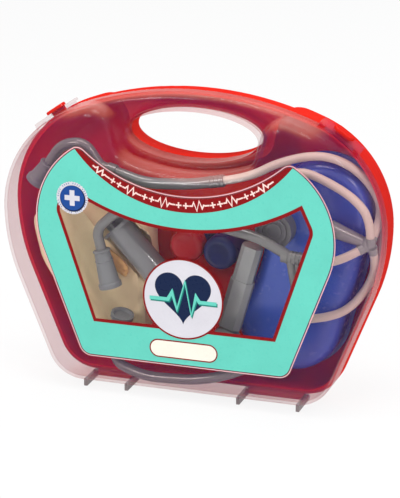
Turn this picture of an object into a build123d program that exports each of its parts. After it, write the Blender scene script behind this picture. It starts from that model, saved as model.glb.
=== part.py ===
from build123d import *
import os
from math import atan2, copysign, cos, degrees, pi, radians, sin, sqrt, tan

os.makedirs("parts", exist_ok=True)

# Toy doctor case: a red back shell and a clear front shell that meet at y = 0 and swing on two
# pins under the case. x runs along the handle, y from front to back, z up from the feet.
# Outlines are drawn in case coordinates (x, height above the underside of the shells).

# ---- case ----
foot_drop = 5.4            # underside of the shells above the feet
wall = 2.0                 # moulded wall of both shells
half_width = 136.2         # at the belly
belly_height = 123.5
belly_radius = 136.0
shoulder_radius = 79.0
crown_radius = 237.0       # top of the handle
side_lean = 21.8           # lower sides, degrees from upright
corner_radius = 27.5
front_depth = 31.6         # parting plane to the label seat
back_depth = 32.0
seat_rise = 1.2            # label seat above the body around it
front_grip_depth = 13.0
back_grip_depth = 14.0
front_round = 9.0          # rounded front edge of the clear body
back_round = 18.0
front_grip_round = 5.5
back_grip_round = 6.0

# ---- handle ----
grip_height = 12.7
opening_floor = 165.0      # lowest point of the finger opening
opening_half_width = 48.0
valley_floor = 159.8       # body below the opening
valley_radius = 130.0
valley_half = 51.0
valley_round = 12.0
cheek_spread = 12.0        # how much wider the valley is a full case above its floor
cheek_round = 16.0

# ---- rim that locates the front shell on the back shell ----
rim_reach = 2.0
rim_root = 3.0
rim_width = 1.2
rim_gap = 0.3

# ---- printed label ----
label_thickness = 0.4
label_floor = 23.5
label_side_radius = 61.0
label_side_x = 46.0
label_side_height = 121.0
label_side_lean = 20.6
label_top = 144.5
label_top_radius = 111.0
label_corner = 8.0
label_tip = 6.0
label_border = 1.6         # margin of the raised seat round the label
seat_hollow_inset = 0.4    # how far the hollow behind the seat stays inside the label's edge
window_floor = 50.4
window_half_floor = 65.2
window_half_belly = 91.2
window_belly = 129.0
window_half_tip = 84.0
window_tip = 144.4
window_top = 120.7
window_top_radius = 160.0
emblem_radius = 29.5
emblem_height = 71.9

# ---- hinge ----
pin_radius = 1.0
pin_head_radius = 1.8
pin_head = 0.8
pin_running = 0.05
pin_seat = 0.02
eye_radius = 2.6
barrel_radius = 2.3
lug_thickness = 2.4
lug_reach = 22.0           # lugs double as front feet
lug_pairs = ((-78.0, -47.0), (36.5, 80.0))
hinge_side_gap = 0.4
web_depth = 5.0
foot_reach = 24.0          # back feet
foot_thickness = 3.0
hinge_height = eye_radius

# ---- snap catches on the shoulders ----
catch_angle = 35.1         # from upright, round the shoulder
tongue_length = 34.0
tongue_thickness = 2.0
tongue_gap = 0.6
tongue_front = 9.0
tongue_back = 5.0
tongue_leg = 5.0
tongue_corner = 1.5
leg_root = 2.4             # the legs' feet below the crest of the shoulder
slot_width = 11.0
stem_width = 10.0
stem_depth = 4.0
knob_length = 16.0
knob_depth = 8.6
knob_height = 2.2
knob_edge = 0.9
catch_gap = 0.3
bite = 0.1                 # how far moulded-on pieces reach into each other
past = 1.0                 # how far a cut runs past a face, and a back foot into its web
near = 0.01                # what counts as the same place when corners are picked

# ---- contents ----
gap = 0.3                  # between things that lie against each other
headset_y = -20.0          # the headset lies flat in this plane
arm_radius = 3.7
web_thickness = 5.2
collar_radius = 4.3
collar_lead = 3.5          # bare ends before the ribs
socket_lead = 1.0
plug_lead = 2.0
rib_height = 0.5
rib_width = 1.3
rib_pitch = 2.8
collar_ribs = 4            # on the headset's collar and on the bell arm's socket
plug_ribs = 3
tip_radius = 8.2           # flared mouth of an ear tip
tip_sleeve = 1.7           # its neck round the arm
tip_bead = 0.9             # raised ring round the mouth
tip_bead_slope = 1.0
tip_lip = 1.6
tip_dish = 1.6             # depth of the mouth
tip_slope = 1.2
tip_rim = 3.0              # straight edge behind the mouth
tip_waist = 0.62           # share of the length where the neck starts to flare
upper_tip_length = 27.8
lower_tip_length = 20.0
bell_tip_length = 17.6
tube_radius = 3.0          # hoses
bend_share = 0.45          # share of the shorter run that a bend takes up
socket_radius = 3.5
socket_length = 6.0
stem_y = -14.0             # the bent bell arm lies flat in this plane
stem_radius = 4.0
joint_radius = 5.0
joint_length = 6.1
hook_lead = 6.0            # straight start of the hook past the joint
tee_centre = (123.9, -5.2, 116.3)
tee_radius = 5.5
tee_bell_end = (98.0, -9.6, 126.5)
tee_bell_radius = 6.0
plug_radius = 4.2
plug_length = 14.0
gauge_centre = (59.0, 121.0)
gauge_radius = 13.0
gauge_depth = 11.0
gauge_ring = 0.9           # height of the raised rings
gauge_ring_width = 1.6
gauge_ring_pitch = 3.6
gauge_rings = 3
dish_front = -1.0
dish_rear = 24.0           # its rim rests on the back shell's rounding
dish_wall = 1.8
dish_round = 9.0
dish_rim = 2.6
dish_lobes = ((65.5, 52.5, 38.0), (88.5, 133.0, 35.5))
dish_waist = (-52.0, 118.0, 100.0)
dish_waist_round = 18.0
pack_front = -9.0
pack_outline = ((-36, 28), (-91, 28), (-118, 82), (-126.5, 115), (-100, 128), (-36, 130))
pack_round = 13.0
pack_edge = 8.0
pack_rear_edge = 12.0
syringe_y = -5.0
syringe_start = (-57.9, 111.4)
syringe_turn = 42.45       # nozzle, degrees from straight down towards the right
barrel_outer = 10.0
barrel_wall = 1.3
barrel_length = 64.0
barrel_end = 2.0
flange_length = 27.0
flange_depth = 19.0
flange_thickness = 2.4
nozzle_length = 9.0
nozzle_base = 3.4
nozzle_radius = 2.6
nozzle_bore = 1.0
plunger_stroke = 30.0
plunger_standoff = 6.0     # thumb plate above the finger flange when pushed in
plunger_fin = 1.6
plunger_side_gap = 1.2
plunger_disc = 2.0
thumb_radius = 9.3
thumb_thickness = 2.4
seal_length = 6.0
seal_running = 0.08
jar_front = -4.0
lid_depth = 13.0
lid_round = 5.0
jar_shoulder = 0.8         # step in from the lid to the jar
red_jar = (-8.4, 100.0, 12.0)
navy_jar = (16.4, 97.6, 12.2)
dome_radius = 9.0
dome_height = 4.5
scope_y = -6.9
scope_top = (42.7, 107.1)
scope_foot = (25.4, 46.6)
scope_width = 16.5
scope_depth = 13.0
scope_chamfer = 3.6
scope_collar = 26.0        # length of the slimmer lamp collar at the top of the handle
scope_collar_step = 1.0
scope_head_centre = (22.6, 36.6)
scope_head_radius = 9.5
scope_head_round = 2.5
cone_start = (13.6, 33.5)
cone_end = (-4.0, 27.5)
cone_base = 6.2
cone_mouth = 2.4

front = Plane(origin=(0, 0, foot_drop), x_dir=(1, 0, 0), z_dir=(0, -1, 0))
crown_height = belly_height - sqrt(
    (crown_radius - shoulder_radius) ** 2 - (half_width - shoulder_radius) ** 2
)
back_inside = back_depth - wall


def at(x, y, height):
    """A place inside the case, height above the underside of the shells."""
    return Pos(x, y, height + foot_drop)


def both_sides(right_half):
    """The face between the right half of an outline and its mirror image."""
    return make_face(right_half + mirror(right_half, Plane.YZ))


def push(face, depth):
    """A case outline pushed depth forward of the parting plane, or back where it is negative."""
    return extrude(front * face, amount=depth)


def slab(face, depth, rounding):
    """A pushed outline with its far edge rounded."""
    solid = push(face, depth)
    far = solid.edges().group_by(Axis.Y)[0 if depth > 0 else -1]
    return fillet(far, rounding)


# ---------------------------------------------------------------- outlines
def case_outline():
    """Outline of both shells at the parting plane."""
    belly = (half_width - belly_radius, belly_height)
    shoulder = (half_width - shoulder_radius, belly_height)
    turn = degrees(atan2(belly_height - crown_height, shoulder[0]))
    side = CenterArc(belly, belly_radius, -side_lean, side_lean)
    foot_x = (side @ 0).X - (side @ 0).Y * tan(radians(side_lean))
    right = (
        Line((0, 0), (foot_x, 0))
        + Line((foot_x, 0), side @ 0)
        + side
        + CenterArc(shoulder, shoulder_radius, 0, turn)
        + CenterArc((0, crown_height), crown_radius, turn, 90 - turn)
    )
    face = both_sides(right)
    corners = face.vertices().filter_by(lambda v: abs(v.Y) < near and abs(v.X) > past)
    return fillet(corners, corner_radius)


def valley_outline():
    """The hollow under the handle where the body stands back to the grip."""
    sweep = degrees(atan2(valley_half, valley_radius))
    floor = CenterArc((0, valley_floor + valley_radius), valley_radius, -90, sweep)
    above = crown_height + crown_radius + cheek_round
    brow = (valley_half + cheek_spread, above)
    right = floor + Line(floor @ 1, brow) + Line(brow, (0, above))
    face = both_sides(right)
    feet = face.vertices().filter_by(lambda v: abs(v.X) > past and v.Y < above - past)
    return fillet(feet, valley_round)


def body_outline(case):
    """The case without the valley, with its cheeks rounded by drawing it in and out again."""
    return offset(offset(case - valley_outline(), -cheek_round), cheek_round)


def opening_outline(margin=0.0):
    """The oval finger opening under the grip; margin is added all round."""
    top = crown_height + crown_radius - grip_height
    half_height = (top - opening_floor) / 2
    middle = Pos(0, opening_floor + half_height)
    return middle * Ellipse(opening_half_width + margin, half_height + margin)


def label_outline(margin=0.0):
    """The printed label: narrow floor, round sides and a hollow top; margin is added all round."""
    floor = label_floor - margin
    side_radius, top_radius = label_side_radius + margin, label_top_radius - margin
    side_centre = (label_side_x, label_side_height)
    top_centre = label_top + label_top_radius
    span = sqrt(label_side_x**2 + (top_centre - label_side_height) ** 2)
    along = (top_radius**2 - side_radius**2 + span**2) / (2 * span)
    across = sqrt(top_radius**2 - along**2)
    ux, uz = label_side_x / span, (label_side_height - top_centre) / span
    tip = (along * ux - across * uz, top_centre + along * uz + across * ux)
    rise = degrees(atan2(tip[1] - label_side_height, tip[0] - label_side_x))
    side = CenterArc(side_centre, side_radius, -label_side_lean, label_side_lean + rise)
    foot = ((side @ 0).X - ((side @ 0).Y - floor) * tan(radians(label_side_lean)), floor)
    right = (
        Line((0, floor), foot)
        + Line(foot, side @ 0)
        + side
        + RadiusArc(tip, (0, top_centre - top_radius), top_radius)
    )
    face = both_sides(right)
    tips = face.vertices().filter_by(lambda v: abs(v.X) > past and v.Y > label_top + label_border)
    face = fillet(tips, label_tip + margin)
    feet = face.vertices().filter_by(lambda v: abs(v.X) > past and v.Y < floor + near)
    return fillet(feet, label_corner + margin)


def window_outline():
    """The clear window inside the label's red line."""
    belly = (window_half_belly, window_belly)
    tip = (window_half_tip, window_tip)
    right = (
        Line((0, window_floor), (window_half_floor, window_floor))
        + Line((window_half_floor, window_floor), belly)
        + Line(belly, tip)
        + RadiusArc(tip, (0, window_top), window_top_radius)
    )
    face = both_sides(right)
    bends = face.vertices().filter_by(lambda v: abs(abs(v.X) - window_half_belly) < near)
    return fillet(bends, label_corner)


# ---------------------------------------------------------------- shells
def half_case(direction, grip_depth, body_depth, grip_round, body_round, seat=None):
    """One hollow half of the case; direction is 1 to the front and -1 to the back."""
    case = case_outline()
    body = body_outline(case)
    opening = opening_outline()
    outer = slab(case, direction * grip_depth, grip_round)
    outer += slab(body, direction * body_depth, body_round)
    grip_room = offset(case, -wall) - opening_outline(wall)
    room = slab(grip_room, direction * (grip_depth - wall), grip_round - wall)
    room += slab(offset(body, -wall), direction * (body_depth - wall), body_round - wall)
    if seat:
        outer += push(label_outline(label_border), seat)
        room += push(label_outline(-seat_hollow_inset), seat - wall)
    return outer - room - push(opening, 2 * body_depth) - push(opening, -2 * body_depth)


def catch_place(side):
    """Frame on the shoulder: local x along it, y to the back, z outward."""
    x = half_width - shoulder_radius + shoulder_radius * sin(radians(catch_angle))
    height = belly_height + shoulder_radius * cos(radians(catch_angle))
    return at(side * x, 0, height) * Rot(0, side * catch_angle, 0)


def block(x0, x1, y0, y1, z0, z1):
    """A box between two corners."""
    return Pos((x0 + x1) / 2, (y0 + y1) / 2, (z0 + z1) / 2) * Box(x1 - x0, y1 - y0, z1 - z0)


def tongue(side):
    """Forked tongue of the front shell, raised on two legs."""
    half = tongue_length / 2
    top = tongue_gap + tongue_thickness
    plate = block(-half, half, -tongue_front, tongue_back, tongue_gap, top)
    plate = fillet(plate.edges().filter_by(Axis.Z), tongue_corner)
    plate -= block(-slot_width / 2, slot_width / 2, -catch_gap, tongue_back + past, 0, top + past)
    for end in (-half, half - tongue_leg):
        plate += block(
            end, end + tongue_leg, -tongue_front, -catch_gap, -leg_root, tongue_gap + bite
        )
    return catch_place(side) * plate


def knob(side):
    """Headed knob of the back shell that stands in the tongue's fork."""
    seat = tongue_gap + tongue_thickness + catch_gap
    back = tongue_back - catch_gap
    half = stem_width / 2
    stem = block(-half, half, back - stem_depth, back, -wall / 2, seat + bite)
    head = extrude(SlotOverall(knob_length, knob_depth), knob_height)
    head = fillet(head.edges().group_by(Axis.Z)[-1], knob_edge)
    return catch_place(side) * (stem + Pos(0, back - knob_depth / 2, seat) * head)


def along_x(x0, x1, radius, y=0.0, z=0.0):
    """A round bar along x."""
    return Pos((x0 + x1) / 2, y, z) * Rot(0, 90, 0) * Cylinder(radius, x1 - x0)


def front_shell():
    shell = half_case(
        1, front_grip_depth, front_depth - seat_rise, front_grip_round, front_round, front_depth
    )
    for side in (-1, 1):
        shell += tongue(side)
    for pair in lug_pairs:
        for x in pair:
            x0, x1 = x - lug_thickness / 2, x + lug_thickness / 2
            shell += block(x0, x1, -lug_reach, 0, 0, foot_drop + wall / 2)
            shell += along_x(x0, x1, eye_radius, z=hinge_height)
            shell -= along_x(x0 - past, x1 + past, pin_radius + pin_running, z=hinge_height)
    return shell


def barrel_span(pair):
    """Where the back shell's barrel lies between a pair of lugs."""
    inset = lug_thickness / 2 + hinge_side_gap
    return pair[0] + inset, pair[1] - inset


def back_shell():
    shell = half_case(-1, back_grip_depth, back_depth, back_grip_round, back_round)
    case = case_outline()
    inner = offset(case, -wall - rim_gap - rim_width)
    root = push(offset(case, bite - wall) - inner, -rim_root)
    shell += root + push(offset(case, -wall - rim_gap) - inner, rim_reach)
    for side in (-1, 1):
        shell += knob(side)
    for pair in lug_pairs:
        x0, x1 = barrel_span(pair)
        shell += along_x(x0, x1, barrel_radius, z=hinge_height)
        web_foot = hinge_height - barrel_radius
        shell += block(x0, x1, pin_seat, web_depth, web_foot, foot_drop + wall / 2)
        shell -= along_x(x0 - past, x1 + past, pin_radius + pin_seat, z=hinge_height)
        middle = (x0 + x1) / 2
        shell += block(
            middle - foot_thickness / 2, middle + foot_thickness / 2,
            web_depth - past, foot_reach, 0, foot_drop + wall,
        )
    return shell


def hinge_pin(pair):
    """Pin through a pair of lugs and the barrel between them, with its head on the outer side."""
    inner, outer = sorted(pair, key=abs)
    side = copysign(1, outer)
    start = inner - side * lug_thickness / 2
    face = outer + side * (lug_thickness / 2 + catch_gap)
    shank = along_x(*sorted((start, face)), pin_radius, z=hinge_height)
    head = along_x(*sorted((face, face + side * pin_head)), pin_head_radius, z=hinge_height)
    return shank + head


def label_print():
    sheet = label_outline() - window_outline() + Pos(0, emblem_height) * Circle(emblem_radius)
    return Pos(0, -front_depth, 0) * push(sheet, label_thickness)


# ---------------------------------------------------------------- contents
def aimed(start, end, across=None):
    """Frame at start with local z towards end, in case coordinates (x, y, height)."""
    frame = Plane(origin=start, x_dir=across, z_dir=Vector(*end) - Vector(*start))
    return Pos(0, 0, foot_drop) * frame.location


def rod(start, end, start_radius, end_radius=None):
    """A round bar, or a cone, between two points."""
    length = (Vector(*end) - Vector(*start)).length
    if end_radius is None:
        solid = Cylinder(start_radius, length)
    else:
        solid = Cone(start_radius, end_radius, length)
    return aimed(start, end) * Pos(0, 0, length / 2) * solid


def step_along(start, end, distance):
    """The point a distance past start on the way to end."""
    way = (Vector(*end) - Vector(*start)).normalized()
    return tuple(Vector(*start) + way * distance)


def ribs(start, end, radius, count, lead):
    """Raised rings round a bar, the first one lead past start on the way to end."""
    rings = []
    for n in range(count):
        foot = step_along(start, end, lead + rib_pitch * n)
        rings.append(rod(foot, step_along(foot, end, rib_width), radius + rib_height))
    return Part() + rings


def bends(points):
    """Radius for each corner of a route: as large as its two runs allow."""
    radii = []
    for before, corner, after in zip(points, points[1:], points[2:]):
        inward, outward = Vector(*corner) - Vector(*before), Vector(*after) - Vector(*corner)
        turn = radians(inward.get_angle(outward))
        radii.append(bend_share * min(inward.length, outward.length) / tan(turn / 2))
    return radii


def tube(name, points, radius):
    """A round tube along straight runs joined by tangent arcs."""
    radii = bends(points)
    path = FilletPolyline(*points, radius=radii)
    section = Plane(origin=path @ 0, z_dir=path % 0) * Circle(radius)
    solid = sweep(section, path=path)
    ideal = pi * radius**2 * path.length
    print(name, "length", round(path.length, 1), "radii", [round(r, 1) for r in radii],
          "volume ratio", round(solid.volume / ideal, 4))
    return Pos(0, 0, foot_drop) * solid


headset_upper = [
    (74.0, headset_y, 106.4), (50.0, headset_y, 118.4), (10.0, headset_y, 125.0),
    (-48.0, headset_y, 131.0), (-68.0, headset_y, 112.0), (-64.6, headset_y, 98.0),
]
headset_lower = [
    (74.0, headset_y, 105.4), (80.5, headset_y, 70.0), (64.0, headset_y, 32.0),
    (14.0, headset_y, 8.6), (-34.0, headset_y, 6.4), (-60.0, -13.4, 13.0), (-54.5, -17.0, 33.0),
]
collar_start = (67.5, headset_y, 106.6)
headset_web = ((54, 116), (74, 103), (77, 84), (82, 84), (81, 104), (70, 110))

bell_arm_route = [
    (24.5, stem_y, 154.6), (0.0, stem_y, 149.6), (-33.0, stem_y, 147.4), (-55.0, stem_y, 153.6),
]
bell_hook_route = [
    step_along(bell_arm_route[-1], bell_arm_route[-2], -joint_length),
    step_along(bell_arm_route[-1], bell_arm_route[-2], -joint_length - hook_lead),
    (-78.0, stem_y, 173.0), (-95.0, stem_y, 170.0), (-105.0, stem_y, 155.5),
]

headset_hose = [
    (82.5, -20.0, 105.6), (97.5, -20.0, 104.6), (109.0, -15.5, 106.8), (118.4, -9.4, 112.0),
]
bell_hose = [
    (126.6, -1.6, 120.8), (130.2, 5.0, 131.5), (127.3, 8.5, 147.0), (112.5, 1.0, 167.5),
    (91.0, -6.0, 177.0), (63.0, -11.0, 170.5), (41.65, -14.0, 158.1), (24.5, -14.0, 154.6),
]
gauge_hose = [
    (126.4, -8.6, 122.0), (126.6, -11.0, 136.0), (115.5, -11.5, 149.5), (97.0, -12.0, 159.6),
    (77.0, -12.6, 166.6), (60.0, -10.4, 155.4), (59.4, -8.0, 136.4),
]
plug_hose = [
    (127.3, -3.6, 110.0), (127.6, 4.5, 97.5), (121.6, 5.5, 81.0), (110.5, -1.6, 66.5),
    (95.0, -5.4, 59.8), (80.0, -6.0, 57.4),
]


def headset():
    """Moulded two-arm headset with a ribbed collar for its hose."""
    solid = tube("headset upper arm", headset_upper, arm_radius)
    solid += tube("headset lower arm", headset_lower, arm_radius)
    solid += rod(collar_start, headset_hose[0], collar_radius)
    solid += ribs(collar_start, headset_hose[0], collar_radius, collar_ribs, collar_lead)
    web = make_face(Polyline(*headset_web, close=True))
    return solid + Pos(0, headset_y, 0) * extrude(front * web, web_thickness / 2, both=True)


def bell_arm():
    """Bent arm with a ribbed socket for its hose."""
    solid = tube("bell arm", bell_arm_route, stem_radius)
    return solid + ribs(
        bell_arm_route[0], bell_arm_route[1], stem_radius, collar_ribs, socket_lead
    )


def ear_tip(route, length):
    """Flared soft piece with a dished mouth, straight on from the end of an arm."""
    neck = arm_radius + tip_sleeve
    profile = Polyline(
        (0, 0),
        (neck, 0),
        ((neck + tip_radius) / 2, length * tip_waist),
        (tip_radius - tip_bead, length - tip_rim - tip_bead_slope),
        (tip_radius, length - tip_rim),
        (tip_radius, length),
        (tip_radius - tip_lip, length),
        (tip_radius - tip_lip - tip_slope, length - tip_dish),
        (0, length - tip_dish),
        close=True,
    )
    end = step_along(route[-1], route[-2], -length)
    return aimed(route[-1], end) * revolve(Plane.XZ * make_face(profile), Axis.Z)


def tee_connector():
    """Ball where the hoses meet, with a socket for each and a closed bell."""
    solid = Pos(0, 0, foot_drop) * Pos(*tee_centre) * Sphere(tee_radius)
    for hose in (headset_hose[::-1], bell_hose, gauge_hose, plug_hose):
        solid += rod(step_along(hose[0], hose[1], -socket_length), hose[0], socket_radius)
    return solid + rod(tee_centre, tee_bell_end, socket_radius, tee_bell_radius)


def hose_plug():
    """Ribbed plug at the loose end of a hose."""
    end = step_along(plug_hose[-1], plug_hose[-2], -plug_length)
    solid = rod(plug_hose[-1], end, plug_radius)
    return solid + ribs(plug_hose[-1], end, plug_radius, plug_ribs, plug_lead)


def gauge():
    """Round pressure gauge with raised rings on its face and a spout for its hose."""
    x, height = gauge_centre
    facing = at(x, dish_front - gap, height) * Rot(90, 0, 0)
    solid = facing * Pos(0, 0, gauge_depth / 2) * Cylinder(gauge_radius, gauge_depth)
    for n in range(gauge_rings):
        outer = gauge_radius - gauge_ring_pitch * n
        ring = Cylinder(outer, gauge_ring) - Cylinder(outer - gauge_ring_width, gauge_ring)
        solid += facing * Pos(0, 0, gauge_depth + gauge_ring / 2) * ring
    spout = step_along(gauge_hose[-1], gauge_hose[-2], -gauge_radius)
    return solid + rod(spout, gauge_hose[-1], socket_radius)


def kidney_dish():
    """Kidney-shaped dish, upside down against the back."""
    lobes = Sketch() + [Pos(x, height) * Circle(radius) for x, height, radius in dish_lobes]
    x, height, radius = dish_waist
    outline = make_hull(lobes.edges()) - Pos(x, height) * Circle(radius)
    outline = offset(offset(outline, -dish_waist_round), dish_waist_round)
    depth = dish_rear - dish_front
    solid = slab(outline, depth, dish_round) + push(offset(outline, dish_rim), dish_wall)
    solid -= slab(offset(outline, -dish_wall), depth - dish_wall, dish_round - dish_wall)
    return Pos(0, dish_rear, 0) * solid


def syringe_place():
    """Frame at the finger flange: local z towards the nozzle, local x to the back."""
    x, height = syringe_start
    turn = radians(syringe_turn)
    return aimed(
        (x, syringe_y, height), (x + sin(turn), syringe_y, height - cos(turn)), across=(0, 1, 0)
    )


def syringe_barrel():
    solid = Pos(0, 0, barrel_length / 2) * Cylinder(barrel_outer, barrel_length)
    solid += extrude(SlotOverall(flange_length, flange_depth, rotation=90), flange_thickness)
    nozzle = Cone(nozzle_base, nozzle_radius, nozzle_length)
    solid += Pos(0, 0, barrel_length + nozzle_length / 2) * nozzle
    room = barrel_length - barrel_end
    solid -= Pos(0, 0, room / 2) * Cylinder(barrel_outer - barrel_wall, room)
    return syringe_place() * (solid - Pos(0, 0, barrel_length) * Cylinder(nozzle_bore, barrel_length))


def syringe_plunger():
    """Crossed fins between the thumb plate and the disc that holds the seal."""
    reach = barrel_length - barrel_end - gap - seal_length
    half = barrel_outer - barrel_wall - plunger_side_gap
    plate = Cylinder(thumb_radius, thumb_thickness)
    solid = Pos(0, 0, -plunger_standoff - thumb_thickness / 2) * plate
    for turn in (0, 90):
        fin = block(-half, half, -plunger_fin / 2, plunger_fin / 2, -plunger_standoff, reach)
        solid += Rot(0, 0, turn) * fin
    solid += Pos(0, 0, reach - plunger_disc / 2) * Cylinder(half, plunger_disc)
    return syringe_place() * solid


def syringe_seal():
    end = barrel_length - barrel_end - gap
    radius = barrel_outer - barrel_wall - seal_running
    solid = Pos(0, 0, end - seal_length / 2) * Cylinder(radius, seal_length)
    return syringe_place() * solid


def jar(spec):
    """Straight jar standing on the back wall."""
    x, height, radius = spec
    rear = back_inside - gap
    depth = rear - jar_front - lid_depth
    return at(x, rear - depth / 2, height) * Rot(90, 0, 0) * Cylinder(radius - jar_shoulder, depth)


def jar_lid(spec):
    """Cap with a rounded front edge."""
    x, height, radius = spec
    solid = Pos(0, 0, lid_depth / 2) * Cylinder(radius, lid_depth)
    solid = fillet(solid.edges().group_by(Axis.Z)[-1], lid_round)
    return at(x, jar_front + lid_depth, height) * Rot(90, 0, 0) * solid


def jar_dome(spec):
    """Clear dome on the front of a jar's cap."""
    x, height, _ = spec
    ball = (dome_radius**2 + dome_height**2) / (2 * dome_height)
    cap = Pos(0, 0, dome_height - ball) * Sphere(ball)
    cap &= block(-ball, ball, -ball, ball, 0, 2 * ball)
    return at(x, jar_front, height) * Rot(90, 0, 0) * cap


def scope_handle():
    """Eight-sided handle with a slimmer lamp collar at its top."""
    (x0, h0), (x1, h1) = scope_top, scope_foot
    length = sqrt((x1 - x0) ** 2 + (h1 - h0) ** 2)
    section = Rectangle(scope_depth, scope_width)
    section = chamfer(section.vertices(), scope_chamfer)
    solid = Pos(0, 0, scope_collar) * extrude(section, length - scope_collar)
    solid += extrude(offset(section, -scope_collar_step), scope_collar)
    return aimed((x0, scope_y, h0), (x1, scope_y, h1), across=(0, 1, 0)) * solid


def scope_head():
    """Round head of the light at the foot of its handle."""
    x, height = scope_head_centre
    solid = at(x, scope_y, height) * Rot(90, 0, 0) * Cylinder(scope_head_radius, scope_depth)
    return fillet(solid.edges(), scope_head_round)


def scope_cone():
    (x0, h0), (x1, h1) = cone_start, cone_end
    return rod((x0, scope_y, h0), (x1, scope_y, h1), cone_base, cone_mouth)


def pack():
    """Folded soft bandage pack with the hollow where the syringe lies."""
    face = make_face(Polyline(*pack_outline, close=True))
    face = fillet(face.vertices(), pack_round)
    rear = back_inside - gap
    solid = Pos(0, rear, 0) * slab(face, rear - pack_front, pack_edge)
    solid = fillet(solid.edges().group_by(Axis.Y)[-1], pack_rear_edge)
    behind = plunger_stroke + plunger_standoff + thumb_thickness + gap
    length = behind + barrel_length + gap
    hollow = Pos(0, 0, length / 2 - behind) * Cylinder(barrel_outer + gap, length)
    seat = SlotOverall(flange_length + 2 * gap, flange_depth + 2 * gap, rotation=90)
    hollow += Pos(0, 0, -gap) * extrude(seat, flange_thickness + 2 * gap)
    nose = Cylinder(nozzle_base + gap, nozzle_length + gap)
    hollow += Pos(0, 0, barrel_length + (nozzle_length + gap) / 2) * nose
    return solid - syringe_place() * hollow


def main():
    nodes = {
        "front_shell": front_shell(),
        "back_shell": back_shell(),
        "label_print": label_print(),
        "left_hinge_pin": hinge_pin(lug_pairs[0]),
        "right_hinge_pin": hinge_pin(lug_pairs[1]),
        "headset": headset(),
        "upper_ear_tip": ear_tip(headset_upper, upper_tip_length),
        "lower_ear_tip": ear_tip(headset_lower, lower_tip_length),
        "headset_hose": tube("headset hose", headset_hose, tube_radius),
        "tee_connector": tee_connector(),
        "bell_hose": tube("bell hose", bell_hose, tube_radius),
        "bell_arm": bell_arm(),
        "bell_joint": rod(bell_arm_route[-1], bell_hook_route[0], joint_radius),
        "bell_hook": tube("bell hook", bell_hook_route, stem_radius),
        "bell_tip": ear_tip(bell_hook_route, bell_tip_length),
        "gauge_hose": tube("gauge hose", gauge_hose, tube_radius),
        "pressure_gauge": gauge(),
        "plug_hose": tube("plug hose", plug_hose, tube_radius),
        "hose_plug": hose_plug(),
        "kidney_dish": kidney_dish(),
        "syringe_barrel": syringe_barrel(),
        "syringe_plunger": syringe_plunger(),
        "syringe_seal": syringe_seal(),
        "red_jar": jar(red_jar),
        "red_jar_lid": jar_lid(red_jar),
        "navy_jar": jar(navy_jar),
        "navy_jar_lid": jar_lid(navy_jar),
        "navy_jar_dome": jar_dome(navy_jar),
        "scope_handle": scope_handle(),
        "scope_head": scope_head(),
        "scope_cone": scope_cone(),
        "bandage_pack": pack(),
    }
    for name, solid in nodes.items():
        export_step(solid, f"parts/{name}.step")


main()
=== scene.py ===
import bpy
import math
import numpy as np
from mathutils import Matrix, Vector, noise


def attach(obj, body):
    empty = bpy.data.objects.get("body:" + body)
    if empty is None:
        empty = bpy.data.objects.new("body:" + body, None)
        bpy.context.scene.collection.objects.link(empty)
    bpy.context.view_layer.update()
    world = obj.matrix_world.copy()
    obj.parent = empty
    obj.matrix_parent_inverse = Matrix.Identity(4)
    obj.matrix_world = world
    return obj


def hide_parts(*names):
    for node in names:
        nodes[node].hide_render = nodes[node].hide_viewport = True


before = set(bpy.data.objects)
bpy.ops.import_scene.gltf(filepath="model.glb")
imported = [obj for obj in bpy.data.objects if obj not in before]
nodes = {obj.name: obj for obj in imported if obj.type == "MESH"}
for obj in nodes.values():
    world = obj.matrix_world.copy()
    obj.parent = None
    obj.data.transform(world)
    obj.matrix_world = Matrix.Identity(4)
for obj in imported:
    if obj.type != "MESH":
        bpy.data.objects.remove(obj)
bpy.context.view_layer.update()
scene = bpy.context.scene

MM = 0.001
FRAME_HEIGHT = 498   # height of the photograph's frame, pixels
FOOT = 5.4           # underside of the shells above the feet, mm
CASE, LID = "case_back", "lid"


def place(x, y, height):
    """A point inside the case, mm, as a vector in metres."""
    return Vector((x, y, height + FOOT)) * MM


def added(name, data):
    """A new object, linked to the scene."""
    obj = bpy.data.objects.new(name, data)
    scene.collection.objects.link(obj)
    return obj


# ------------------------------------------------------------------ camera
def camera():
    """The photograph's viewpoint: distance in metres, focal length in pixels."""
    yaw, rise, roll = math.radians(19.22), math.radians(18.10), math.radians(-0.34)
    target, distance, focal = Vector((1.6, 0.0, 104.1)) * MM, 1.554, 2223.6
    right = Vector((math.cos(yaw), math.sin(yaw), 0))
    back = Vector(
        (math.sin(yaw) * math.cos(rise), -math.cos(yaw) * math.cos(rise), math.sin(rise))
    )
    up = back.cross(right)
    side = right * math.cos(roll) + up * math.sin(roll)
    top = up * math.cos(roll) - right * math.sin(roll)
    data = bpy.data.cameras.new("camera")
    data.sensor_width = 36
    data.lens = focal * data.sensor_width / FRAME_HEIGHT
    data.clip_start, data.clip_end = 0.05, 30
    cam = added("camera", data)
    matrix = Matrix((side, top, back)).transposed().to_4x4()
    matrix.translation = target + back * distance
    cam.matrix_world = matrix
    scene.camera = cam


camera()


# --------------------------------------------------------------- materials
def srgb(r, g, b):
    """A colour written as 0 to 255, as Blender's linear one."""
    def linear(v):
        v /= 255
        return v / 12.92 if v <= 0.04045 else ((v + 0.055) / 1.055) ** 2.4

    return (linear(r), linear(g), linear(b), 1.0)


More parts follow.
